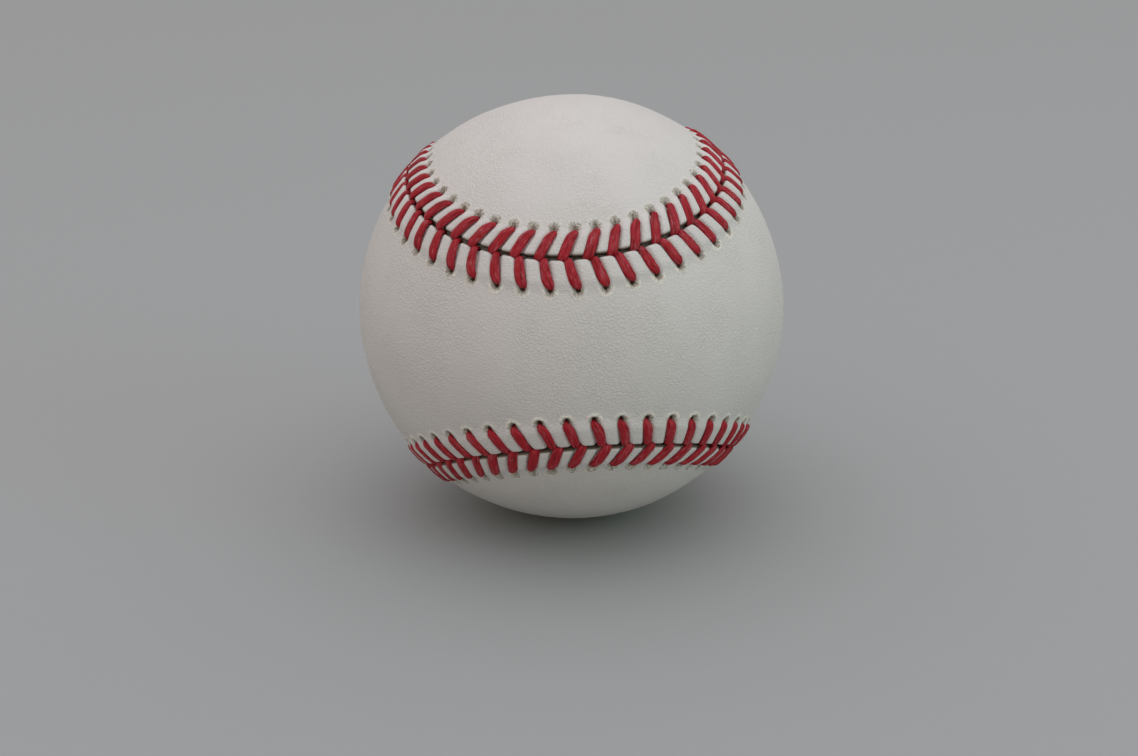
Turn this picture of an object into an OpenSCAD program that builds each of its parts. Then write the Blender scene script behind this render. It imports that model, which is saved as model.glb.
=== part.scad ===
// A sewn leather ball: a cork and rubber core, four yarn windings, a two-panel leather cover
// and the waxed thread of a double row of stitches. The origin is the ball's centre.
// X runs to the viewer's right, -Y points at the viewer and +Z is up, as the ball sits.

/* [Core and windings] */
// Diameter of the cork and rubber core
core_d = 20.6; // [18:0.1:23]
// Thickness of the two black rubber half shells
black_rubber_t = 3.95; // [3:0.05:5]
// Height of the red rubber washer between the half shells
washer_t = 1; // [0.6:0.1:2]
// Thickness of the moulded red rubber layer
red_rubber_t = 2.4; // [1.8:0.05:3.2]
// Thickness of the first winding, four-ply grey wool
inner_winding_t = 14.4; // [13:0.1:15]
// Thickness of the second winding, three-ply white wool
white_winding_t = 1.75; // [1.2:0.05:2.5]
// Thickness of the third winding, three-ply grey wool
outer_winding_t = 2.25; // [1.5:0.05:3]
// Thickness of the finishing winding, fine cotton yarn
finish_winding_t = 0.35; // [0.2:0.05:0.6]
// Slack between each layer and the next
layer_slack = 0.05; // [0.04:0.01:0.08]

/* [Leather cover] */
// Thickness of the leather
leather_t = 1.3; // [1:0.05:1.6]
// Width of the gap between the two panels along the seam
seam_gap = 0.5; // [0.4:0.05:0.7]

/* [Seam curve] */
// Share of the third harmonic in the seam, which draws in the panels' waists
seam_wave_share = 0.32; // [0.28:0.01:0.36]
// Height of the seam's swing towards its two poles, as a share of the radius
seam_height_share = 0.785; // [0.7:0.005:0.9]
// Turn of the seam about X as the ball sits, in degrees
seam_turn_x = 98.3; // [-180:0.1:180]
// Turn of the seam about Y after that, in degrees
seam_turn_y = 47.4; // [-180:0.1:180]
// Turn of the seam about Z after that, in degrees
seam_turn_z = -171.8; // [-180:0.1:180]

/* [Stitches] */
// Number of double stitches round the seam
stitch_pairs = 108; // [88:2:112]
// Diameter of the waxed thread
thread_d = 1.2; // [1.1:0.05:1.35]
// Slack round the thread where it lies in the leather
thread_slack = 0.05; // [0.03:0.01:0.1]
// Distance from the seam to the stitch holes
hole_offset = 5.05; // [4.5:0.05:5.5]
// Height of the thread's centre over the leather at the crown of a stitch
crown_rise = 0.35; // [0.2:0.05:0.5]
// How far the holes of the first panel lie ahead of the point of the chevron
lean_first = 1.8; // [0:0.05:2.5]
// How far the holes of the second panel lie ahead of the point of the chevron
lean_second = 0.95; // [0:0.05:2.5]
// How far the second panel's stitches enter the gap behind the first's
tip_lag = 0.65; // [0:0.05:1]
// Place of the first double stitch along the seam
first_stitch = 149.4; // [0:0.1:400]
// How far the hand sewing opens and closes the stitch spacing, twice round
sewing_wander = 1.4; // [0:0.1:1.6]
// How far the hand sewing drifts along the seam, once round
sewing_drift = 1; // [0:0.1:1.2]

/* [Hidden] */
ball_fn = 96;
thread_fn = 24;

// Radii from the middle outwards
core_r = core_d / 2;
black_in_r = core_r + layer_slack;
black_out_r = black_in_r + black_rubber_t;
red_in_r = black_out_r + layer_slack;
red_out_r = red_in_r + red_rubber_t;
inner_winding_r = red_out_r + layer_slack + inner_winding_t;
white_winding_r = inner_winding_r + layer_slack + white_winding_t;
outer_winding_r = white_winding_r + layer_slack + outer_winding_t;
finish_winding_r = outer_winding_r + layer_slack + finish_winding_t;
cover_in_r = finish_winding_r + layer_slack;
ball_r = cover_in_r + leather_t;
overrun = ball_r;
wedge_r = 2 * ball_r;

// The seam, on a sphere of radius 1
function unit(v) = v / norm(v);
function seam_raw(t) = [
    (1 - seam_wave_share) * cos(t) + seam_wave_share * cos(3 * t),
    (1 - seam_wave_share) * sin(t) - seam_wave_share * sin(3 * t),
    seam_height_share * sin(2 * t)
];
function seam_dir(t) = unit(seam_raw(t));

// A table of distance along the seam against t, which places stitches by distance
seam_steps = 1440;
seam_step = 360 / seam_steps;
function seam_chord(k) = ball_r * norm(seam_dir((k + 1) * seam_step) - seam_dir(k * seam_step));
seam_table = [
    for (k = 0, s = 0; k <= seam_steps; s = s + seam_chord(k), k = k + 1)
        [s, k * seam_step]
];
seam_len = seam_table[seam_steps][0];
function seam_t(s) = lookup(s - seam_len * floor(s / seam_len), seam_table);

// A direction from the centre, off to one side of the seam at distance s along it
function heading(t) = unit(seam_dir(t + seam_step) - seam_dir(t - seam_step));
function swung(n, b, angle) = n * cos(angle) + b * sin(angle);
function beside(s, off) =
    let (t = seam_t(s), n = seam_dir(t))
    swung(n, cross(n, heading(t)), off / ball_r * 180 / PI);

// The cutting line of the first panel, and the mirror plane through its two lobes
edge_n = 2 * stitch_pairs;
lobe_share = 3 / 8;
lobe_mirror = unit([1, 1, 0]);
function edge_dir(k) = beside(seam_len * (lobe_share + k / edge_n), seam_gap / 2);
function spine_dir(p) = unit(p - (p * lobe_mirror) * lobe_mirror);

// Stitch places: side is 1 on the first panel and -1 on the second. A leg ends in the gap,
// where it just clears the legs from the other side.
thread_room = thread_d / 2 + thread_slack;
tip_offset = thread_room;
stitch_pitch = seam_len / stitch_pairs;
function stitch_s(i) =
    let (turn = 360 * i / stitch_pairs)
    first_stitch + stitch_pitch * i + sewing_wander * sin(2 * turn) + sewing_drift * (1 - cos(turn));
function tip_s(i, side) = stitch_s(i) + (side > 0 ? 0 : tip_lag);
function lean(side) = side > 0 ? lean_first : lean_second;

module seam_pose() {
    rotate([seam_turn_x, seam_turn_y, seam_turn_z])
        children();
}

module layer(in_r, out_r) {
    difference() {
        sphere(r = out_r, $fn = ball_fn);
        sphere(r = in_r, $fn = ball_fn);
    }
}

// Puts what is drawn round the origin at a place, with its X, Y and Z along three directions
module placed(x, y, z, at) {
    multmatrix([
        [x[0], y[0], z[0], at[0]],
        [x[1], y[1], z[1], at[1]],
        [x[2], y[2], z[2], at[2]],
        [0, 0, 0, 1]
    ])
        children();
}

// The upright plane of one leg: X runs from its hole to its tip, Y is up, and the origin
// is on the leather under the leg's crown
module leg_plane(i, side) {
    s = tip_s(i, side);
    hole = beside(s + lean(side), side * hole_offset);
    tip = beside(s, side * tip_offset);
    up = unit(hole + tip);
    run = unit(tip - hole);
    placed(run, up, cross(run, up), ball_r * up)
        children();
}

// Half the length of a leg, and the arc that carries it from its hole over the crown to its tip
function half_leg(side) = norm([hole_offset - tip_offset, lean(side)]) / 2;
leg_rise = crown_rise + leather_t - thread_d / 2;
function bend_r(side) = (half_leg(side) * half_leg(side) + leg_rise * leg_rise) / (2 * leg_rise);
function bend_angle(side) = asin(half_leg(side) / bend_r(side));

// One leg of a stitch, from its hole over the leather into the gap
module stitch_leg(i, side) {
    leg_plane(i, side)
        translate([0, crown_rise - bend_r(side), 0])
            rotate([0, 0, 90 - bend_angle(side)])
                rotate_extrude(angle = 2 * bend_angle(side))
                    translate([bend_r(side), 0])
                        circle(d = thread_d, $fn = thread_fn);
}

// The slot that a leg lies in: shallow under the crown, and through the leather at both ends
module leg_slot(i, side) {
    far = half_leg(side) + thread_room * sin(bend_angle(side));
    near = half_leg(side) - thread_room;
    shoulder = half_leg(side) / 2;
    crown_y = crown_rise - thread_room;
    floor_r = bend_r(side) - thread_room;
    shoulder_y = crown_rise - bend_r(side) + sqrt(floor_r * floor_r - shoulder * shoulder);
    leg_plane(i, side)
        linear_extrude(height = 2 * thread_room, center = true)
            polygon([
                [-far, -2 * leather_t], [-near, -2 * leather_t],
                [-shoulder, shoulder_y], [0, crown_y], [shoulder, shoulder_y],
                [near, -2 * leather_t], [far, -2 * leather_t],
                [far, leather_t], [-far, leather_t]
            ]);
}

// Everything on the first panel's side of the seam: radial walls along the cutting line,
// closed outside the ball by a strip to the spine of the figure of eight
module panel_wedge(r) {
    edge = [for (k = [0 : edge_n - 1]) r * edge_dir(k)];
    spine = [for (k = [1 : stitch_pairs - 1]) r * spine_dir(edge[k] / r)];
    // The corners are the centre, then the edge, then the spine
    function E(k) = 1 + (k + edge_n) % edge_n;
    function S(k) = k == 0 ? E(0) : k == stitch_pairs ? E(stitch_pairs) : edge_n + k;
    half = [0 : stitch_pairs - 1];
    faces = concat(
        [for (k = [0 : edge_n - 1]) [0, E(k), E(k + 1)]],
        [for (k = half) [E(k), S(k + 1), E(k + 1)]],
        [for (k = half) if (k > 0) [E(k), S(k), S(k + 1)]],
        [for (k = half) if (k < stitch_pairs - 1) [E(-k), E(-k - 1), S(k + 1)]],
        [for (k = half) if (k > 0) [E(-k), S(k + 1), S(k)]]
    );
    polyhedron(concat([[0, 0, 0]], edge, spine), faces);
}

// One panel: the shell inside its cutting line, with a slot for each leg
module cover_panel(side) {
    seam_pose()
        difference() {
            intersection() {
                layer(cover_in_r, ball_r);
                rotate([side > 0 ? 0 : 180, 0, 0])
                    panel_wedge(wedge_r);
            }
            for (i = [0 : stitch_pairs - 1])
                leg_slot(i, side);
        }
}

// One needle's run: it takes the two panels in turn, and the other needle takes the rest
module thread_run(first) {
    seam_pose()
        for (i = [0 : stitch_pairs - 1])
            stitch_leg(i, (i + first) % 2 == 0 ? 1 : -1);
}

module cork_core() {
    color("peru")
        sphere(r = core_r, $fn = ball_fn);
}

module black_half_shell(side) {
    color("dimgray")
        difference() {
            layer(black_in_r, black_out_r);
            translate([-overrun, -overrun, side > 0 ? washer_t / 2 - 2 * overrun : -washer_t / 2])
                cube(2 * overrun);
        }
}

module red_washer() {
    color("firebrick")
        difference() {
            cylinder(r = black_out_r, h = washer_t, center = true, $fn = ball_fn);
            cylinder(r = black_in_r, h = 2 * washer_t, center = true, $fn = ball_fn);
        }
}

module red_rubber_layer() {
    color("brown")
        layer(red_in_r, red_out_r);
}

module inner_grey_winding() {
    color("gray")
        layer(red_out_r + layer_slack, inner_winding_r);
}

module white_winding() {
    color("ivory")
        layer(inner_winding_r + layer_slack, white_winding_r);
}

module outer_grey_winding() {
    color("darkgray")
        layer(white_winding_r + layer_slack, outer_winding_r);
}

module finishing_winding() {
    color("linen")
        layer(outer_winding_r + layer_slack, finish_winding_r);
}

cork_core();
black_half_shell(1);  // black_half_shell_upper
black_half_shell(-1);  // black_half_shell_lower
red_washer();
red_rubber_layer();
inner_grey_winding();
white_winding();
outer_grey_winding();
finishing_winding();
color("whitesmoke") cover_panel(1);  // cover_panel_first
color("whitesmoke") cover_panel(-1);  // cover_panel_second
color("crimson") thread_run(0);  // thread_run_first
color("crimson") thread_run(1);  // thread_run_second
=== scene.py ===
import math

import bmesh
import bpy
import numpy as np
from mathutils import Euler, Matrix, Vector


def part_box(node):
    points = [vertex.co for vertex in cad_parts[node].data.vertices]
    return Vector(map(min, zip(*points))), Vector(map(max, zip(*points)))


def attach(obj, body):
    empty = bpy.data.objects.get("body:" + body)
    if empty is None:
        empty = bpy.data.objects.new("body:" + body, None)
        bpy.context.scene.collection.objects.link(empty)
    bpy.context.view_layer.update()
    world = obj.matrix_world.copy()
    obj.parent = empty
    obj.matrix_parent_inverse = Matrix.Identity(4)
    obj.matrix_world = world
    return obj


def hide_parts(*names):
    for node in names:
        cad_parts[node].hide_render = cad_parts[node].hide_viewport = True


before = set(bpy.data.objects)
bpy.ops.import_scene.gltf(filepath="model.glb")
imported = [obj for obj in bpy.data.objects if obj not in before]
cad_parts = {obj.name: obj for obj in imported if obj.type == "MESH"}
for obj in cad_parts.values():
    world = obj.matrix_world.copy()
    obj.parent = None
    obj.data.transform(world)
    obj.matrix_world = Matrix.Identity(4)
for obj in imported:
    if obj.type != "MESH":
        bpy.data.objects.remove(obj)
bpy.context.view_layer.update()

MM = 0.001

# The leather cover and its seam, as the part has them. The slack is the air between layers.
LEATHER_T = 1.3
LAYER_SLACK = 0.05
COVER_IN_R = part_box("finishing_winding")[1].z / MM + LAYER_SLACK
BALL_R = COVER_IN_R + LEATHER_T
SEAM_WAVE_SHARE = 0.32
SEAM_HEIGHT_SHARE = 0.785
SEAM_TURN = (98.3, 47.4, -171.8)
SEAM_STEPS = 1440

# The stitches, as the part has them, but for the holes. The part has one distance from the
# seam for both panels, and the photo shows the first panel's a little nearer. Values for one
# panel are keyed by its side of the seam: 1 is the first panel's, -1 the second's.
STITCH_PAIRS = 108
HOLE_OFF = {1: 4.45, -1: 4.9}
TIP_OFFSET = 0.65
LEAN = {1: 1.8, -1: 0.95}
TIP_LAG = 0.65
FIRST_STITCH = 149.4
SEWING_WANDER = 1.4
SEWING_DRIFT = 1.0

# The panels' meshes. Columns of points run across the seam, that many to a stitch and crowded
# near the legs. Rows run along the seam, as far from it as the band's end.
COLUMNS = 16
CROWDING = 0.5
BAND_END = 8.0
SPINE_ROWS = 9
WALL_ROWS = 4
ROLL_ROWS = 7
# A short step along the seam, for slopes
STEP = 0.2
# Seeds of the random draws
RIPPLE_SEED = 5
LEATHER_SEED = 20
EDGE_SEED = 31
THREAD_SEED = 40

# The stage and the camera
FLOOR_SIZE = 6.0
CAMERA_DISTANCE = 0.326
CAMERA_ELEVATION = 18.27
CAMERA_PITCH = 20.46
CAMERA_ASIDE = -0.0004
CAMERA_LENS = 58.57


def unit(v):
    return v / np.linalg.norm(v, axis=-1, keepdims=True)


def smooth(x, low, high):
    """0 below low and 1 above high, with a soft rise between them."""
    t = np.clip((x - low) / (high - low), 0, 1)
    return t * t * (3 - 2 * t)


def bump(x, half):
    """1 at 0, falling softly to 0 at half."""
    return 1 - smooth(np.abs(x), 0, half)


# The seam, on a sphere of radius 1
def seam_dir(t):
    w, h = SEAM_WAVE_SHARE, SEAM_HEIGHT_SHARE
    x = (1 - w) * np.cos(t) + w * np.cos(3 * t)
    y = (1 - w) * np.sin(t) - w * np.sin(3 * t)
    return unit(np.stack([x, y, h * np.sin(2 * t)], -1))


SEAM_STEP = 2 * math.pi / SEAM_STEPS
table_t = np.arange(SEAM_STEPS + 1) * SEAM_STEP
table_chords = BALL_R * np.linalg.norm(np.diff(seam_dir(table_t), axis=0), axis=1)
table_s = np.concatenate([[0], np.cumsum(table_chords)])
SEAM_LEN = table_s[-1]
STITCH_PITCH = SEAM_LEN / STITCH_PAIRS


def beside(s, off):
    """Directions from the centre, off to one side of the seam at distance s along it."""
    t = np.interp(np.mod(s, SEAM_LEN), table_s, table_t)
    n = seam_dir(t)
    heading = unit(seam_dir(t + SEAM_STEP) - seam_dir(t - SEAM_STEP))
    angle = (off / BALL_R)[..., None]
    return n * np.cos(angle) + np.cross(n, heading) * np.sin(angle)


def stitch_s(i):
    turn = 2 * math.pi * i / STITCH_PAIRS
    wander = SEWING_WANDER * np.sin(2 * turn) + SEWING_DRIFT * (1 - np.cos(turn))
    return FIRST_STITCH + STITCH_PITCH * i + wander


def tip_s(i, side):
    return stitch_s(i) + (0 if side > 0 else TIP_LAG)


def lean_at(off, side):
    return LEAN[side] * (off - TIP_OFFSET) / (HOLE_OFF[side] - TIP_OFFSET)


def from_nearest(s, places):
    """Signed distance along the seam from the nearest of the places, which rise over one lap."""
    lap = places[0] + np.mod(s - places[0], SEAM_LEN)
    ring = np.append(places, places[0] + SEAM_LEN)
    after = np.clip(np.searchsorted(ring, lap), 1, len(ring) - 1)
    ahead, behind = lap - ring[after], lap - ring[after - 1]
    return np.where(np.abs(ahead) < np.abs(behind), ahead, behind)


def waves(directions, seed, length, count=7):
    """A soft random field over the ball, about -1 to 1, with ripples of that length."""
    rng = np.random.default_rng(seed)
    turns = unit(rng.normal(size=(count, 3))) * (2 * math.pi * BALL_R / length)
    phases = rng.uniform(0, 2 * math.pi, count)
    total = sum(np.sin(directions @ k + p) for k, p in zip(turns, phases))
    return total / math.sqrt(count)


# Height and length of the leather's broad and fine ripples
RIPPLES = ((0.05, 24), (0.015, 6))


def ripple(directions):
    """The slight unevenness of leather drawn over yarn."""
    return sum(h * waves(directions, RIPPLE_SEED + k, length)
               for k, (h, length) in enumerate(RIPPLES))


SEAM_POSE = np.array(Euler([math.radians(a) for a in SEAM_TURN]).to_matrix())


def make_mesh(name, points, faces, attributes=()):
    """A smooth mesh object from points in the seam's frame, in millimetres."""
    mesh = bpy.data.meshes.new(name)
    mesh.from_pydata([tuple(p) for p in (points @ SEAM_POSE.T) * MM], [], faces)
    for key, values in dict(attributes).items():
        kind = "FLOAT_VECTOR" if values.ndim > 1 else "FLOAT"
        layer = mesh.attributes.new(key, kind, "POINT")
        field = "vector" if values.ndim > 1 else "value"
        layer.data.foreach_set(field, values.astype(np.float32).ravel())
    mesh.polygons.foreach_set("use_smooth", np.ones(len(mesh.polygons), bool))
    mesh.update()
    piece = bpy.data.objects.new(name, mesh)
    bpy.context.scene.collection.objects.link(piece)
    return piece


# The height of the leather over the ball near the seam. x is the distance across from the
# nearest leg, off the distance from the seam and out the distance beyond the holes, all in
# millimetres.

# The puffs rise beside a leg and fade beyond the holes, and the groove is the bed of the leg
PUFF_RISE = 0.5
PUFF_SPREAD = (0.85, 1.12)
PUFF_SHOULDER = (0.56, 1.15)
PUFF_FADE = (-1.35, 0.85)
GROOVE_DEPTH = 0.12
# The hole: its depth, how far past HOLE_OFF its middle lies, its half width and half length
PIT_DEPTH = 0.8
PIT_AT = {1: 0.1, -1: 0.2}
PIT_HALF = (0.4, 0.62)
# The torn lip round the hole, and the wrinkles that fan out from it
LIP_RISE = {1: 0.05, -1: 0.2}
LIP_SPREAD = (0.6, 1.3)
LIP_AT, LIP_HALF = 1.15, 0.26
LIP_UNEVEN = 0.35
FAN_AT, FAN_HALF = 1.2, 0.45
WRINKLES = 9
WRINKLE_RISE = {1: 0.05, -1: 0.03}
# Where the lip and the wrinkles set in, past HOLE_OFF
OUTSIDE = (-0.25, 0.35)
# How deep the legs press the edge, and how far back from it
TIP_PRESS = 0.26
PRESS_REACH = 1.3


def leather_height(side, x, off, puff, leg):
    """The pillowed leather between the legs, the bed under each leg, and its hole."""
    rng = np.random.default_rng(LEATHER_SEED + side)
    rise = PUFF_RISE * rng.uniform(*PUFF_SPREAD, STITCH_PAIRS)[puff]
    lip = rng.uniform(*LIP_SPREAD, STITCH_PAIRS)[leg]
    phase = rng.uniform(0, 2 * math.pi, STITCH_PAIRS)[leg]
    across = smooth(np.abs(x), *PUFF_SHOULDER)
    out = off - HOLE_OFF[side]
    along = 1 - smooth(out, *PUFF_FADE)
    height = rise * across * along - GROOVE_DEPTH * (1 - across) * along
    pit = ((x / PIT_HALF[0]) ** 2 + ((out - PIT_AT[side]) / PIT_HALF[1]) ** 2) ** 1.5
    height = height - PIT_DEPTH * np.exp(-pit)
    ring = np.hypot(x, out)
    outside = smooth(out, *OUTSIDE)
    angle = np.arctan2(x, out)
    torn = 1 - LIP_UNEVEN + LIP_UNEVEN * np.cos(5 * angle + phase) * np.cos(2 * angle - phase)
    crest = np.exp(-(((ring - LIP_AT) / LIP_HALF) ** 2))
    height = height + LIP_RISE[side] * lip * torn * outside * crest
    fan = np.exp(-(((ring - FAN_AT) / FAN_HALF) ** 2))
    height = height + WRINKLE_RISE[side] * outside * fan * np.cos(WRINKLES * angle + phase)
    return height


# The cut edge of a panel, which rolls over into the gap. It is notched at each leg from either
# side, and waves a little. RAW_EDGE says how far up the roll the suede shows.
GAP_HALF = 0.28
NOTCH = 0.22
NOTCH_HALF = 0.95
EDGE_WAVE, EDGE_WAVE_LEN = 0.04, 9
# Breadth and depth of the roll, and how much wider than the gap's mouth its bottom is
ROLL = (0.55, 0.6)
WALL_FLARE = 0.08
RAW_EDGE = {1: (0.3, 0.85), -1: (0.15, 0.7)}
# The leather's underside lies that far over the finishing winding's slack
UNDER_SLACK = 0.02
# Rows from the rolled edge to near the holes, round the holes, and on to the band's end
TOP_ROWS = (14, 12, 5)
HOLE_ZONE = (-0.85, 1.25)
# Places of the underside's rows, out from the seam, and the number of rows from the band's end
# to the spine
UNDER_OFFS = (3.0, 5.5)
UNDER_CAP_ROWS = 3
# Points nearer together than this are joined
MERGE = 0.001
# How far apart in their patterns neighbouring legs and holes are
MARK_STEP = 3.7


def column_places(side):
    """Each column's place along the seam, the puff that it crosses and its nearest leg."""
    u = np.arange(COLUMNS) / COLUMNS
    share = u - CROWDING * np.sin(2 * math.pi * u) / (2 * math.pi)
    tips = tip_s(np.arange(STITCH_PAIRS + 1), side)
    places = tips[:-1, None] + np.diff(tips)[:, None] * share
    puff = np.repeat(np.arange(STITCH_PAIRS), COLUMNS)
    leg = (puff + np.tile(share > 0.5, STITCH_PAIRS)) % STITCH_PAIRS
    return places.ravel(), puff, leg


def stretch(s, off):
    """How much longer a step along the seam is at off to one side."""
    ends = beside(s + STEP, off) - beside(s - STEP, off)
    return np.linalg.norm(ends, axis=-1) * BALL_R / (2 * STEP)


def top_shares(hole):
    """Where the rows of the face lie, as shares of the way from the roll to the band's end."""
    start = GAP_HALF + ROLL[0]
    ends = (start, hole + HOLE_ZONE[0], hole + HOLE_ZONE[1], BAND_END)
    steps = [np.linspace(a, b, n + 1)[1:] for a, b, n in zip(ends, ends[1:], TOP_ROWS)]
    return (np.concatenate(steps) - start) / (BAND_END - start)


def spine_ends(places, side):
    """Where each column ends on the panel's spine, a line from the middle of one lobe to the
    other. Two columns that face each other share a point of it."""
    n = len(places)
    lobe_s = SEAM_LEN * (3 if side > 0 else 5) / 8
    s = places + LEAN[side] - lobe_s
    first = np.argmin(np.abs(np.mod(s + SEAM_LEN / 2, SEAM_LEN) - SEAM_LEN / 2))
    order = (first + np.arange(n)) % n
    ahead = np.unwrap(s[order], period=SEAM_LEN)
    behind = SEAM_LEN - np.append(ahead[0] + SEAM_LEN, ahead[:0:-1])
    from_lobe = (ahead + behind) / 2
    inner = np.full(n, side * BAND_END)
    ends = np.empty((n, 3))
    ends[order] = unit(beside(lobe_s + from_lobe, inner) + beside(lobe_s - from_lobe, inner))
    return ends


def shell(name, rings):
    """A closed mesh from rings of points, with each point's hole marks and its suede."""
    points = np.concatenate([r[0] for r in rings])
    marks = np.concatenate([r[1] for r in rings])
    raws = np.concatenate([r[2] for r in rings])
    n = len(rings[0][0])
    column = np.arange(n)
    following = (column + 1) % n
    faces = []
    for k in range(len(rings) - 1):
        a, b = k * n, (k + 1) * n
        faces += np.stack([a + column, a + following, b + following, b + column], -1).tolist()
    piece = make_mesh(name, points, faces, {"hole": marks, "raw": raws})
    merge(piece)
    return piece


def panel_mesh(name, side):
    """One leather panel as a closed shell: rings of points run from the middle of its
    underside out to the seam, over the rolled edge and back to the middle of its face."""
    places, puff, leg = column_places(side)
    own = tip_s(np.arange(STITCH_PAIRS), side)
    other = tip_s(np.arange(STITCH_PAIRS), -side)
    hole = HOLE_OFF[side]
    slant = math.cos(math.atan2(LEAN[side], hole - TIP_OFFSET))
    near_tips = bump(from_nearest(places, own), NOTCH_HALF)
    near_tips = np.maximum(near_tips, bump(from_nearest(places, other), NOTCH_HALF))
    seam = beside(places, 0 * places)
    edge = GAP_HALF + NOTCH * near_tips + EDGE_WAVE * waves(seam, EDGE_SEED, EDGE_WAVE_LEN)

    def at(off):
        """Every column's direction at off from the seam, and how far it is from its leg."""
        off = np.broadcast_to(off, places.shape)
        s = places + lean_at(np.minimum(off, hole), side)
        across = from_nearest(places, own) * stretch(s, side * off) * slant
        return beside(s, side * off), across, off

    def ring_at(off, radius, raw=0.0):
        """A ring of points at off from the seam and at radius from the ball's centre."""
        d, x, off = at(off)
        marks = np.stack([np.abs(x), off - hole, leg * MARK_STEP], -1)
        return d * np.broadcast_to(radius, off.shape)[:, None], marks, np.full(off.shape, raw)

    def face_height(off):
        """The height of the panel's face over the ball."""
        d, x, off = at(off)
        press = TIP_PRESS * near_tips * (1 - smooth(off, edge, edge + PRESS_REACH))
        return leather_height(side, x, off, puff, leg) - press + ripple(d)

    shoulder = edge + ROLL[0]
    top = BALL_R + face_height(shoulder)
    low = top - ROLL[1]
    under_r = COVER_IN_R + UNDER_SLACK
    rings = [ring_at(off, under_r, raw=1.0) for off in reversed(UNDER_OFFS)]
    for k in range(WALL_ROWS):
        share = k / WALL_ROWS
        radius = (1 - share) * under_r + share * low
        rings.append(ring_at(edge + WALL_FLARE * (1 - share), radius, raw=1.0))
    for k in range(ROLL_ROWS + 1):
        turn = math.pi / 2 * k / ROLL_ROWS
        radius = low + ROLL[1] * math.sin(turn)
        raw = 1 - smooth(k / ROLL_ROWS, *RAW_EDGE[side])
        rings.append(ring_at(edge + ROLL[0] * (1 - math.cos(turn)), radius, raw=raw))
    for share in top_shares(hole):
        off = shoulder + (BAND_END - shoulder) * share
        rings.append(ring_at(off, BALL_R + face_height(off)))

    # From the band's end the rings close on the spine
    band, _, _ = at(BAND_END)
    spine = spine_ends(places, side)
    far = np.full(band.shape, BAND_END)

    def cap(rows, radius, raw):
        """Rings from the band's end to the spine, on the rippled face if radius is None."""
        found = []
        for k in range(1, rows + 1):
            d = unit(band + (spine - band) * (k / rows))
            r = BALL_R + ripple(d) if radius is None else radius
            raws = np.full(places.shape, raw)
            found.append((d * np.broadcast_to(r, places.shape)[:, None], far, raws))
        return found

    under = cap(UNDER_CAP_ROWS, under_r, 1.0)[::-1]
    under.append(ring_at(BAND_END, under_r, raw=1.0))
    return shell(name, under + rings + cap(SPINE_ROWS, None, 0.0))


def merge(piece):
    """Joins the points that lie together, and turns every face outwards."""
    mesh = bmesh.new()
    mesh.from_mesh(piece.data)
    bmesh.ops.remove_doubles(mesh, verts=mesh.verts, dist=MERGE * MM)
    bmesh.ops.recalc_face_normals(mesh, faces=mesh.faces)
    mesh.to_mesh(piece.data)
    mesh.free()


# One leg of a stitch: a flattened bundle of waxed strands. It comes up through its hole,
# lies over the leather and dives into the gap. Places are (off, height), in millimetres.

# Heights of the crown's ends, of the arch between them and of the leg's two ends
LEG_CROWN = 0.3
LEG_ARCH = 0.07
LEG_DEPTH = -0.95
# How far the leg stands in from its hole's middle, how much it slants down there, and the
# radius of its bend
LEG_INSET = 0.25
LEG_SLANT = 0.01
LEG_HOLE_BEND = 0.62
# The radius of its bend at the gap, and where it goes down there
LEG_TIP_BEND = {1: 0.7, -1: 0.85}
LEG_TIP_OFF = {1: -0.18, -1: 0.2}
BEND_POINTS = 7
CROWN_POINTS = 9
# A leg hooks forward along the seam at its hole, and sways a little either way at its crown
LEG_HOOK = {1: 0.5, -1: 0.3}
HOOK_START = -1.6
HOOK_SHIFT_SHARE = 0.35
LEG_SWAY = 0.12
# Its width turns to the seam's line where it runs down more steeply than this, as a cosine
STEEP = (0.75, 0.98)
LEG_SIDES = 24
LEG_STRANDS = 6
# Heights of the strands and of the finer ones between them, as shares of the leg's thickness
STRAND_SHARE = 0.035
FINE_STRAND_SHARE = 0.6 * STRAND_SHARE
# Turn of the strands for each millimetre of leg, and where a leg's turn starts, in radians
STRAND_TWIST = 0.35
TWIST_SPREAD = (0, 6)
# The radius that the thread's pattern is laid round
PATTERN_R = 0.6
# Half thickness, and its shares along the leg
LEG_HALF_T = 0.4
THICK_AT_SHARES = (0, 0.15, 0.85, 1)
THICK_SHARES = (0.8, 1, 1, 0.85)
# Half widths from the hole to the gap, by share of the leg's length, and their spread
LEG_SHARES = (0, 0.12, 0.22, 0.38, 0.7, 0.88, 1)
LEG_HALF_W = {
    1: (0.3, 0.4, 0.62, 0.84, 0.84, 0.76, 0.48),
    -1: (0.34, 0.52, 0.76, 0.86, 0.74, 0.58, 0.4),
}
LEG_SPREAD = (0.93, 1.07)


def leg_profile(side):
    """The leg's centre line from the bottom of its hole to the bottom of the gap."""
    turn = np.linspace(0, math.pi / 2, BEND_POINTS)
    hole_at, bend = HOLE_OFF[side] - LEG_INSET, LEG_HOLE_BEND
    rise = [(hole_at + 2 * LEG_SLANT, LEG_DEPTH)]
    rise += [(hole_at + LEG_SLANT, (LEG_DEPTH + LEG_CROWN - bend) / 2)]
    rise += [(hole_at - bend * (1 - math.cos(a)), LEG_CROWN - bend * (1 - math.sin(a)))
             for a in turn]
    tip_at, bend = LEG_TIP_OFF[side], LEG_TIP_BEND[side]
    fall = [(tip_at + bend * (1 - math.sin(a)), LEG_CROWN - bend * (1 - math.cos(a)))
            for a in turn]
    fall += [(tip_at, LEG_DEPTH)]
    flat = np.linspace(rise[-1][0], fall[0][0], CROWN_POINTS)[1:-1]
    arch = LEG_ARCH * np.sin(np.linspace(0, math.pi, CROWN_POINTS))[1:-1]
    return np.array(rise + list(zip(flat, LEG_CROWN + arch)) + fall)


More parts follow.
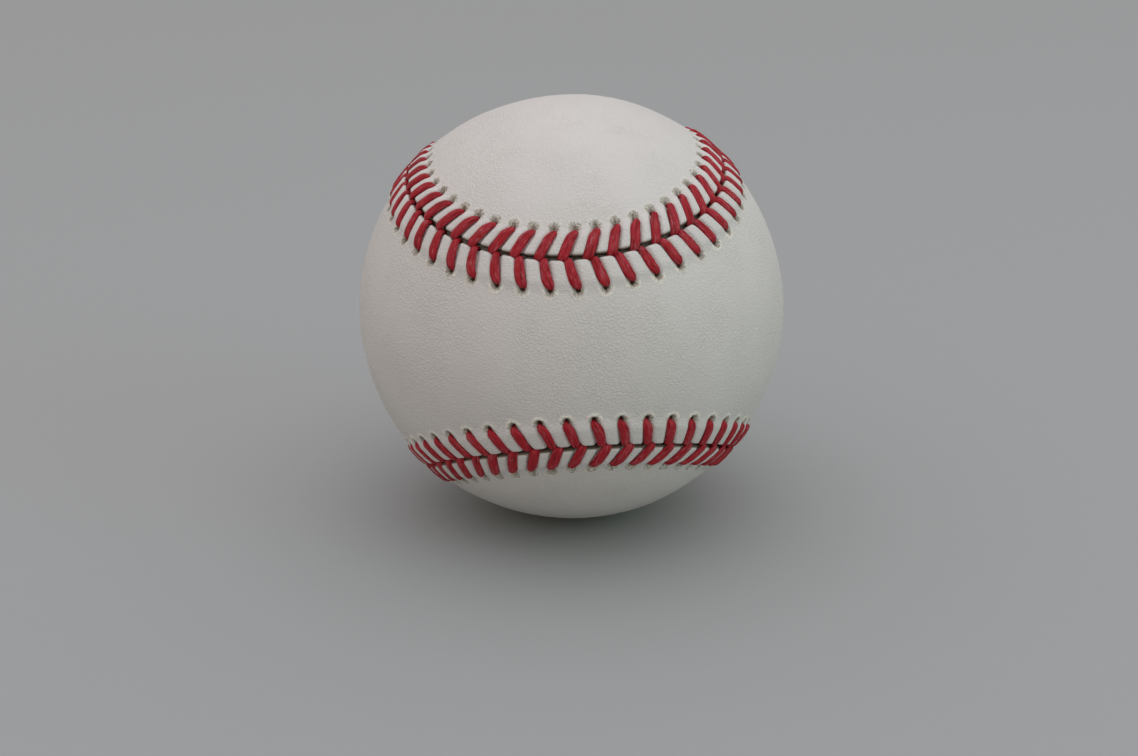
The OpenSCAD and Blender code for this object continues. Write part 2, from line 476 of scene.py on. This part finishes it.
def leg_directions(line, up, s, off, side):
    """The directions across a leg and outwards from it, for each point of its line."""
    forward = unit(np.gradient(line, axis=0))
    across = unit(np.cross(forward, up))
    level = unit(beside(s + STEP, side * off) - beside(s - STEP, side * off))
    level *= np.sign(np.sum(level * across, -1))[:, None]
    steep = smooth(np.abs(np.sum(forward * up, -1)), *STEEP)[:, None]
    across = unit(across * (1 - steep) + level * steep)
    outward = unit(np.cross(across, forward))
    # Out of the leather, and away from the seam where the leg runs straight down
    away = up + 0.5 * beside(s, side * off - side)
    outward *= np.sign(np.sum(outward * away, -1))[:, None]
    return across, outward


def leg_points(side, i, rng):
    """Rings of points round one leg, and their places on it for the thread's finish."""
    profile = leg_profile(side)
    off, height = profile[:, 0], profile[:, 1]
    run = np.concatenate([[0], np.cumsum(np.linalg.norm(np.diff(profile, axis=0), axis=1))])
    share = run / run[-1]
    hook = LEG_HOOK[side] * (smooth(off - HOLE_OFF[side], HOOK_START, 0) - HOOK_SHIFT_SHARE)
    sway = LEG_SWAY * rng.normal() * np.sin(math.pi * share)
    s = tip_s(i, side) + lean_at(np.minimum(off, HOLE_OFF[side]), side) + hook + sway
    up = beside(s, side * off)
    line = up * (BALL_R + height)[:, None]
    across, outward = leg_directions(line, up, s, off, side)
    half_w = np.interp(share, LEG_SHARES, LEG_HALF_W[side]) * rng.uniform(*LEG_SPREAD)
    half_t = LEG_HALF_T * np.interp(share, THICK_AT_SHARES, THICK_SHARES)
    turn = np.arange(LEG_SIDES) * 2 * math.pi / LEG_SIDES - math.pi / 2
    twist = STRAND_TWIST * run[:, None] + rng.uniform(*TWIST_SPREAD)
    lobes = 1 + STRAND_SHARE * np.cos(LEG_STRANDS * (turn + twist))
    lobes += FINE_STRAND_SHARE * np.cos((2 * LEG_STRANDS - 1) * turn - 2 * twist)
    wide = half_w[:, None] * lobes * np.cos(turn)
    thick = half_t[:, None] * lobes * np.sin(turn)
    points = (line[:, None] + wide[..., None] * across[:, None]
              + thick[..., None] * outward[:, None])
    round_it = np.broadcast_to((turn + math.pi / 2) * PATTERN_R, points.shape[:2])
    along = np.broadcast_to(run[:, None], points.shape[:2])
    marks = np.stack([round_it, along, np.full(along.shape, i * MARK_STEP)], -1)
    return points.reshape(-1, 3), marks.reshape(-1, 3), len(run)


def thread_mesh(name, first):
    """One needle's run of legs, which takes the two panels in turn."""
    rng = np.random.default_rng(THREAD_SEED + first)
    points, marks, faces = [], [], []
    base = 0
    for i in range(STITCH_PAIRS):
        side = 1 if (i + first) % 2 == 0 else -1
        p, m, rings = leg_points(side, i, rng)
        points.append(p)
        marks.append(m)
        for k in range(rings - 1):
            for j in range(LEG_SIDES):
                a, b = base + k * LEG_SIDES, base + (k + 1) * LEG_SIDES
                j2 = (j + 1) % LEG_SIDES
                faces.append((a + j, a + j2, b + j2, b + j))
        faces.append(tuple(base + j for j in range(LEG_SIDES)))
        faces.append(tuple(base + (rings - 1) * LEG_SIDES + j for j in range(LEG_SIDES)))
        base += rings * LEG_SIDES
    piece = make_mesh(name, np.concatenate(points), faces, {"strand": np.concatenate(marks)})
    merge(piece)
    return piece


# The finish of each surface. Sizes in the patterns are in millimetres.
def new_material(name, **settings):
    material = bpy.data.materials.new(name)
    material.use_nodes = True
    tree = material.node_tree
    shader = tree.nodes["Principled BSDF"]
    for key, value in settings.items():
        shader.inputs[key.replace("_", " ")].default_value = value
    return material, tree, shader


def plug(tree, socket, value):
    if isinstance(value, bpy.types.Node):
        tree.links.new(value.outputs[0], socket)
    elif isinstance(value, bpy.types.NodeSocket):
        tree.links.new(value, socket)
    else:
        socket.default_value = value


def node(tree, kind, sockets, **settings):
    made = tree.nodes.new("ShaderNode" + kind)
    for key, value in settings.items():
        setattr(made, key, value)
    for key, value in sockets.items():
        plug(tree, made.inputs[key], value)
    return made


def maths(tree, operation, *values):
    return node(tree, "Math", dict(enumerate(values)), operation=operation)


def ramp(tree, value, low, high, start=0.0, end=1.0):
    """start below low and end above high, with a soft change between them."""
    sockets = {"Value": value, "From Min": low, "From Max": high, "To Min": start, "To Max": end}
    return node(tree, "MapRange", sockets, interpolation_type="SMOOTHSTEP")


def mix(tree, factor, first, second):
    made = node(tree, "Mix", {0: factor, 6: first, 7: second}, data_type="RGBA")
    return made.outputs[2]


def mix_value(tree, factor, first, second):
    return node(tree, "Mix", {0: factor, 2: first, 3: second}, data_type="FLOAT").outputs[0]


def object_point(tree):
    """The place on the ball, in millimetres."""
    at = node(tree, "TexCoord", {}).outputs["Object"]
    return node(tree, "VectorMath", {0: at, "Scale": 1 / MM}, operation="SCALE")


def noise(tree, at, size, detail=2.0, rough=0.5):
    sockets = {"Vector": at, "Scale": 1 / size, "Detail": detail, "Roughness": rough}
    return node(tree, "TexNoise", sockets)


def stretched(tree, at, size, detail=2.0):
    """Noise with a size of its own along each axis."""
    shrunk = node(tree, "VectorMath", {0: at, 1: size}, operation="DIVIDE")
    return noise(tree, shrunk, 1.0, detail)


def relief(tree, height, depth, under=None):
    """A bump of that depth. height runs from 0 to 1."""
    sockets = {"Height": height, "Distance": depth * MM, "Strength": 1.0}
    if under is not None:
        sockets["Normal"] = under
    return node(tree, "Bump", sockets)


# The leather's pebbles: their size, the length and reach of their wandering borders, and depth
PEBBLE = 0.62
PEBBLE_WANDER = (1.1, 0.9)
PEBBLE_DEPTH = 0.055
# The finer grain over them, and how deep the torn leather round a hole is
GRAIN = 0.22
GRAIN_DEPTH = 0.018
TORN_DEPTH = 0.08
# Sizes of the patches of plainer grain, of the broad change of shade and of the pale flecks
PATCH = 9.0
SHADE = 14.0
FLECK = 0.2
# Size of the jags in the rims of the marks round a hole, and how far they reach
JAG = 0.4
JAG_REACH = 0.9
# Streaks fan out from a point a little way in from the hole. In their pattern, a radian round
# it counts as FAN_RADIUS.
STREAK = 0.8
FAN_FROM = -0.35
FAN_RADIUS = 5.0
# How torn a hole is comes from noise of this size, from a row in which the holes are
# MARK_STEP apart
TEAR = 1.9
TEAR_ROW = 0.37
LEATHER = (0.689, 0.669, 0.642, 1)
LEATHER_DULL = (0.667, 0.647, 0.615, 1)
# Painted shade in the creases between the pebbles
CREASE_SHADE = (0.56, 0.53, 0.49, 1)
SUEDE = (0.33, 0.275, 0.21, 1)
# Dirt and painted shade down in the gap
GAP_DIRT_AND_SHADE = (0.11, 0.085, 0.06, 1)
# Painted shade in the holes
PIT_SHADE = (0.07, 0.045, 0.028, 1)
SMUDGE = (0.25, 0.225, 0.165, 1)
FRAY = (0.95, 0.91, 0.79, 1)
# Half width, half length and place of the painted shade in each hole, of the brown stain round
# it and of the stain's pale torn rim
PIT_SHADE_MARK = {1: (0.36, 0.4, 0.0), -1: (0.5, 0.6, 0.08)}
STAIN_MARK = {1: (0.95, 0.95, 0.66), -1: (1.05, 1.0, 0.37)}
RIM_MARK = {1: (0.9, 1.0, 0.66), -1: (0.95, 0.92, 0.44)}
# Half the width of the rim, its strength, and the strength of the pale flecks in the stain
RIM_HALF = {1: 0.2, -1: 0.27}
RIM_PALE = {1: 0.25, -1: 0.85}
FLECK_PALE = {1: 0.7, -1: 0.35}


def leather(side):
    """White pebbled leather: a torn hole at each stitch, shade painted in it, suede at its edge.
    """
    name = "leather_first" if side > 0 else "leather_second"
    material, tree, shader = new_material(name, Specular_IOR_Level=0.35)
    at = object_point(tree)
    # Pebbles: cells whose borders wander, with a finer grain over them
    wander = noise(tree, at, PEBBLE_WANDER[0], 2.0).outputs["Color"]
    warp = node(tree, "VectorMath", {0: wander, "Scale": PEBBLE_WANDER[1]}, operation="SCALE")
    warped = node(tree, "VectorMath", {0: at, 1: warp}, operation="ADD")
    cells = node(tree, "TexVoronoi", {"Vector": warped, "Scale": 1 / PEBBLE},
                 feature="DISTANCE_TO_EDGE")
    pebble = ramp(tree, cells, 0.0, 0.28)
    fine = noise(tree, at, GRAIN, 3.0, 0.6)
    patches = ramp(tree, noise(tree, at, PATCH, 2.0), 0.38, 0.62, 0.6, 1.0)
    broad = noise(tree, at, SHADE, 3.0)
    colour = mix(tree, ramp(tree, broad, 0.35, 0.65), LEATHER, LEATHER_DULL)
    # Painted shade in the creases between the pebbles, where the bump lies low
    crease_shade = maths(tree, "MULTIPLY", ramp(tree, cells, 0.02, 0.12, 0.16, 0.0), patches)
    colour = mix(tree, crease_shade, colour, CREASE_SHADE)

    # Marks round each hole, from the place that the mesh keeps relative to it
    place = node(tree, "Attribute", {}, attribute_name="hole").outputs["Vector"]
    parts = node(tree, "SeparateXYZ", {0: place})
    x, out, leg = parts.outputs[0], parts.outputs[1], parts.outputs[2]
    jitter = noise(tree, at, JAG, 3.0, 0.7)

    def reach(half_x, half_out, centre):
        """Distance from a mark's middle, 1 at its rim."""
        u = maths(tree, "DIVIDE", x, half_x)
        v = maths(tree, "DIVIDE", maths(tree, "SUBTRACT", out, centre), half_out)
        flat = node(tree, "CombineXYZ", {0: u, 1: v})
        length = node(tree, "VectorMath", {0: flat}, operation="LENGTH").outputs["Value"]
        torn = maths(tree, "MULTIPLY", maths(tree, "SUBTRACT", jitter, 0.5), JAG_REACH)
        return maths(tree, "ADD", length, torn)

    # Streaks run out from the hole like the folds there
    bearing = maths(tree, "ARCTAN2", x, maths(tree, "SUBTRACT", out, FAN_FROM))
    bearing = maths(tree, "MULTIPLY", bearing, FAN_RADIUS)
    fan = node(tree, "CombineXYZ", {0: bearing, 1: out, 2: leg})
    streaks = noise(tree, fan, STREAK, 2.0)
    flecks = noise(tree, at, FLECK, 2.0, 0.6)
    # Some holes are more torn than others
    each = noise(tree, node(tree, "CombineXYZ", {0: leg, 1: TEAR_ROW}), TEAR, 1.0)
    tear = ramp(tree, each, 0.36, 0.6, 0.45, 1.0)
    stain = ramp(tree, reach(*STAIN_MARK[side]), 0.67, 1.11, 0.92, 0.0)
    streaked = ramp(tree, streaks, 0.38, 0.6, 0.42, 1.0)
    colour = mix(tree, maths(tree, "MULTIPLY", stain, streaked), colour, SMUDGE)
    pale = maths(tree, "MULTIPLY", stain, ramp(tree, flecks, 0.5, 0.6, 0.0, FLECK_PALE[side]))
    colour = mix(tree, pale, colour, FRAY)
    to_rim = maths(tree, "ABSOLUTE", maths(tree, "SUBTRACT", reach(*RIM_MARK[side]), 1.04))
    rim = ramp(tree, to_rim, RIM_HALF[side] / 2, 1.5 * RIM_HALF[side], RIM_PALE[side], 0.0)
    broken = maths(tree, "MULTIPLY", tear, ramp(tree, flecks, 0.46, 0.6, 1.0, 0.3))
    outside = maths(tree, "MULTIPLY", ramp(tree, out, 0.0, 0.55), broken)
    fray = maths(tree, "MULTIPLY", rim, outside)
    colour = mix(tree, fray, colour, FRAY)
    # The dark in each hole is painted shade
    pit = ramp(tree, reach(*PIT_SHADE_MARK[side]), 0.6, 1.0, 1.0, 0.0)
    colour = mix(tree, pit, colour, PIT_SHADE)

    raw = node(tree, "Attribute", {}, attribute_name="raw").outputs["Fac"]
    suede = maths(tree, "MULTIPLY", raw, ramp(tree, jitter, 0.3, 0.7, 0.8, 1.0))
    colour = mix(tree, suede, colour, SUEDE)
    # The suede darkens where it goes down into the gap, with dirt and painted shade there
    colour = mix(tree, ramp(tree, raw, 0.6, 1.0, 0.0, 0.85), colour, GAP_DIRT_AND_SHADE)
    plug(tree, shader.inputs["Base Color"], colour)
    gloss = ramp(tree, fine, 0.3, 0.7, 0.5, 0.62)
    marked = maths(tree, "MAXIMUM", raw, maths(tree, "MAXIMUM", pit, fray))
    plug(tree, shader.inputs["Roughness"], mix_value(tree, marked, gloss, 0.92))
    grain = maths(tree, "MULTIPLY", pebble, patches)
    grain = maths(tree, "MULTIPLY", grain, ramp(tree, raw, 0.0, 0.4, 1.0, 0.0))
    bumps = relief(tree, grain, PEBBLE_DEPTH)
    bumps = relief(tree, fine, GRAIN_DEPTH, bumps)
    torn = maths(tree, "MULTIPLY", streaks, maths(tree, "MAXIMUM", stain, fray))
    bumps = relief(tree, torn, TORN_DEPTH, bumps)
    plug(tree, shader.inputs["Normal"], bumps)
    return material


# Width and length of the thread's strands, fibres and worn places
STRAND = (0.17, 3.2, 1.0)
FIBRE = (0.05, 1.1, 1.0)
WORN = (0.5, 1.6, 1.0)
STRAND_DEPTH = 0.05
FIBRE_DEPTH = 0.03
# Painted shade between the strands
THREAD_GROOVE_SHADE = (0.17, 0.0025, 0.005, 1)
THREAD = (0.38, 0.0138, 0.0245, 1)
THREAD_PALE = (0.62, 0.24, 0.26, 1)


def waxed_thread():
    """Crimson cotton strands, laid side by side and held by wax."""
    material, tree, shader = new_material(
        "waxed_thread", Roughness=0.5, Specular_IOR_Level=0.2)
    place = node(tree, "Attribute", {}, attribute_name="strand").outputs["Vector"]
    strands = stretched(tree, place, STRAND)
    fibres = stretched(tree, place, FIBRE)
    wear = stretched(tree, place, WORN)
    # Painted shade between the strands, where they lie low
    colour = mix(tree, ramp(tree, strands, 0.32, 0.5), THREAD_GROOVE_SHADE, THREAD)
    pale = maths(tree, "MULTIPLY", ramp(tree, fibres, 0.52, 0.68), ramp(tree, wear, 0.4, 0.65))
    colour = mix(tree, maths(tree, "MULTIPLY", pale, 0.75), colour, THREAD_PALE)
    plug(tree, shader.inputs["Base Color"], colour)
    bumps = relief(tree, strands, STRAND_DEPTH)
    bumps = relief(tree, fibres, FIBRE_DEPTH, bumps)
    plug(tree, shader.inputs["Normal"], bumps)
    return material


# Size of the cork's granules, how deep the joints between them are, the finer grain on them
# and its depth, and the darkest and palest granules
GRANULE = 1.1
JOINT_DEPTH = 0.12
CORK_GRAIN = 0.3
CORK_GRAIN_DEPTH = 0.06
CORK_DARK = (0.30, 0.15, 0.07, 1)
CORK_PALE = (0.52, 0.33, 0.17, 1)
CORK_JOINT = (0.09, 0.05, 0.03, 1)


def cork():
    """Moulded granules of cork in rubber."""
    material, tree, shader = new_material("cork", Roughness=0.85)
    at = object_point(tree)
    places = {"Vector": at, "Scale": 1 / GRANULE}
    grains = node(tree, "TexVoronoi", places)
    tint = node(tree, "SeparateColor", {0: grains.outputs["Color"]}).outputs[0]
    colour = mix(tree, tint, CORK_DARK, CORK_PALE)
    edge = node(tree, "TexVoronoi", places, feature="DISTANCE_TO_EDGE")
    colour = mix(tree, ramp(tree, edge, 0.0, 0.09, 1.0, 0.0), colour, CORK_JOINT)
    plug(tree, shader.inputs["Base Color"], colour)
    bumps = relief(tree, ramp(tree, edge, 0.0, 0.15), JOINT_DEPTH)
    bumps = relief(tree, noise(tree, at, CORK_GRAIN, 3.0), CORK_GRAIN_DEPTH, bumps)
    plug(tree, shader.inputs["Normal"], bumps)
    return material


# Size of the bloom's patches, and size and depth of the rubber's grain
BLOOM = 5.0
RUBBER_GRAIN = 0.4
RUBBER_GRAIN_DEPTH = 0.03


def rubber(name, dark, pale):
    """Moulded rubber, dull, with a bloom of dust."""
    material, tree, shader = new_material(name, Specular_IOR_Level=0.4)
    at = object_point(tree)
    bloom = noise(tree, at, BLOOM, 4.0, 0.6)
    plug(tree, shader.inputs["Base Color"], mix(tree, ramp(tree, bloom, 0.4, 0.7), dark, pale))
    plug(tree, shader.inputs["Roughness"], ramp(tree, bloom, 0.3, 0.7, 0.55, 0.75))
    grain = noise(tree, at, RUBBER_GRAIN, 3.0)
    plug(tree, shader.inputs["Normal"], relief(tree, grain, RUBBER_GRAIN_DEPTH))
    return material


# Turns of the yarn's four directions, in radians
YARN_TURNS = ((0.3, 0.2, 0.0), (1.2, 0.5, 0.9), (0.4, 1.3, 2.0), (2.2, 0.9, 1.1))
# Size of the patches of one direction, and size and depth of the yarn's fuzz
YARN_PATCH = 9.0
FUZZ = 0.2
FUZZ_DEPTH = 0.08
# A wave texture of scale 1 repeats after this length
WAVE_PERIOD = math.pi / 10


def yarn(name, dark, pale, thickness):
    """Yarn wound round the ball in every direction: turns of one direction lie over turns
    of another, patch by patch."""
    material, tree, shader = new_material(name, Roughness=0.95, Sheen_Weight=0.15)
    at = object_point(tree)
    height = None
    for k, turn in enumerate(YARN_TURNS):
        turned = node(tree, "VectorRotate", {"Vector": at, "Rotation": turn},
                      rotation_type="EULER_XYZ")
        turns = node(tree, "TexWave", {"Vector": turned, "Scale": WAVE_PERIOD / thickness,
                     "Distortion": 0.4, "Detail": 1.0}, wave_profile="SIN")
        if height is None:
            height = turns.outputs["Fac"]
            continue
        patch = ramp(tree, noise(tree, turned, YARN_PATCH + k, 1.0), 0.5, 0.52)
        height = mix_value(tree, patch, height, turns.outputs["Fac"])
    fuzz = noise(tree, at, FUZZ, 3.0, 0.7)
    # Darker in the hollows between the turns: painted shade
    colour = mix(tree, ramp(tree, height, 0.05, 0.6), dark, pale)
    plug(tree, shader.inputs["Base Color"], colour)
    bumps = relief(tree, height, thickness / 2)
    plug(tree, shader.inputs["Normal"], relief(tree, fuzz, FUZZ_DEPTH, bumps))
    return material


# Size of the floor's grain, and how much of its colour the darkest of it keeps
FLOOR_GRAIN = 3.0
FLOOR_SHADE = 0.985


def plain(name, colour, roughness):
    """The floor's finish: even, with a trace of grain."""
    material, tree, shader = new_material(name, Roughness=roughness, Specular_IOR_Level=0.2)
    grain = noise(tree, object_point(tree), FLOOR_GRAIN, 3.0)
    shade = tuple(FLOOR_SHADE * c for c in colour[:3]) + (1,)
    plug(tree, shader.inputs["Base Color"], mix(tree, grain, shade, colour))
    return material


# The pieces. The cover and the thread get finer meshes, and the layers inside keep theirs.
def dress(piece, node_name, material):
    piece.data.materials.append(material)
    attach(piece, "root")
    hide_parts(node_name)


dress(panel_mesh("leather_panel_first", 1), "cover_panel_first", leather(1))
dress(panel_mesh("leather_panel_second", -1), "cover_panel_second", leather(-1))
red_thread = waxed_thread()
dress(thread_mesh("stitches_first", 0), "thread_run_first", red_thread)
dress(thread_mesh("stitches_second", 1), "thread_run_second", red_thread)

black_rubber = rubber("black_rubber", (0.018, 0.018, 0.019, 1), (0.06, 0.06, 0.062, 1))
red_rubber = rubber("red_rubber", (0.34, 0.04, 0.03, 1), (0.45, 0.09, 0.07, 1))
grey_wool = yarn("grey_wool", (0.09, 0.09, 0.095, 1), (0.34, 0.34, 0.34, 1), 1.5)
white_wool = yarn("white_wool", (0.42, 0.39, 0.33, 1), (0.78, 0.75, 0.68, 1), 1.2)
cotton_yarn = yarn("cotton_yarn", (0.45, 0.41, 0.33, 1), (0.82, 0.78, 0.7, 1), 0.35)
for node_name, material in {
    "cork_core": cork(),
    "black_half_shell_upper": black_rubber,
    "black_half_shell_lower": black_rubber,
    "red_washer": red_rubber,
    "red_rubber_layer": red_rubber,
    "inner_grey_winding": grey_wool,
    "white_winding": white_wool,
    "outer_grey_winding": grey_wool,
    "finishing_winding": cotton_yarn,
}.items():
    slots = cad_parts[node_name].data.materials
    slots.clear()
    slots.append(material)


# The stage: a pale floor that the ball rests on, soft light from above, and the camera
FLOOR = (0.35, 0.366, 0.363, 1)
SKY = (0.36, 0.365, 0.375, 1)
SKY_STRENGTH = 1.0
# The even light at the horizon and overhead
HORIZON_LIGHT = (0.4, 0.33, 0.24, 1)
ZENITH_LIGHT = (1.08, 1.05, 1.12, 1)
# Name, place and size in metres, power in watts, and colour
LAMPS = (
    ("overhead", (0.0, -0.2, 1.1), 1.1, 1.0, (1.0, 0.985, 0.97)),
    ("right", (0.9, -0.4, 0.3), 0.6, 1.3, (0.52, 1.0, 1.0)),
)


def floor():
    half = FLOOR_SIZE / 2
    low = -BALL_R * MM
    mesh = bpy.data.meshes.new("floor")
    corners = [(-half, -half, low), (half, -half, low), (half, half, low), (-half, half, low)]
    mesh.from_pydata(corners, [], [(0, 1, 2, 3)])
    made = bpy.data.objects.new("floor", mesh)
    bpy.context.scene.collection.objects.link(made)
    mesh.materials.append(plain("floor", FLOOR, 0.8))


def lamps():
    for name, place, size, power, colour in LAMPS:
        light = bpy.data.lights.new(name, "AREA")
        light.size = size
        light.energy = power
        light.color = colour
        made = bpy.data.objects.new(name, light)
        made.location = place
        made.rotation_euler = (-Vector(place)).to_track_quat("-Z", "Y").to_euler()
        bpy.context.scene.collection.objects.link(made)


def sky():
    """Even light, stronger overhead. The camera sees the colour of the floor instead."""
    world = bpy.data.worlds.new("sky")
    bpy.context.scene.world = world
    world.use_nodes = True
    tree = world.node_tree
    light = tree.nodes["Background"]
    direction = node(tree, "TexCoord", {}).outputs["Generated"]
    up = node(tree, "SeparateXYZ", {0: direction}).outputs[2]
    colour = mix(tree, ramp(tree, up, 0.0, 1.0), HORIZON_LIGHT, ZENITH_LIGHT)
    plug(tree, light.inputs["Color"], colour)
    seen = node(tree, "Background", {"Color": SKY, "Strength": SKY_STRENGTH})
    rays = node(tree, "LightPath", {})
    shown = maths(tree, "MAXIMUM", rays.outputs["Is Camera Ray"],
                  rays.outputs["Is Glossy Ray"])
    shown = maths(tree, "MAXIMUM", shown, rays.outputs["Is Transmission Ray"])
    both = node(tree, "MixShader", {0: shown, 1: light, 2: seen})
    tree.links.new(both.outputs[0], tree.nodes["World Output"].inputs["Surface"])


def camera():
    data = bpy.data.cameras.new("camera")
    data.lens = CAMERA_LENS
    data.clip_start = 0.01
    made = bpy.data.objects.new("camera", data)
    e = math.radians(CAMERA_ELEVATION)
    made.location = (CAMERA_ASIDE, -CAMERA_DISTANCE * math.cos(e), CAMERA_DISTANCE * math.sin(e))
    made.rotation_euler = (math.radians(90 - CAMERA_PITCH), 0, 0)
    bpy.context.scene.collection.objects.link(made)
    bpy.context.scene.camera = made


floor()
lamps()
sky()
camera()
bpy.context.scene.view_settings.view_transform = "Standard"
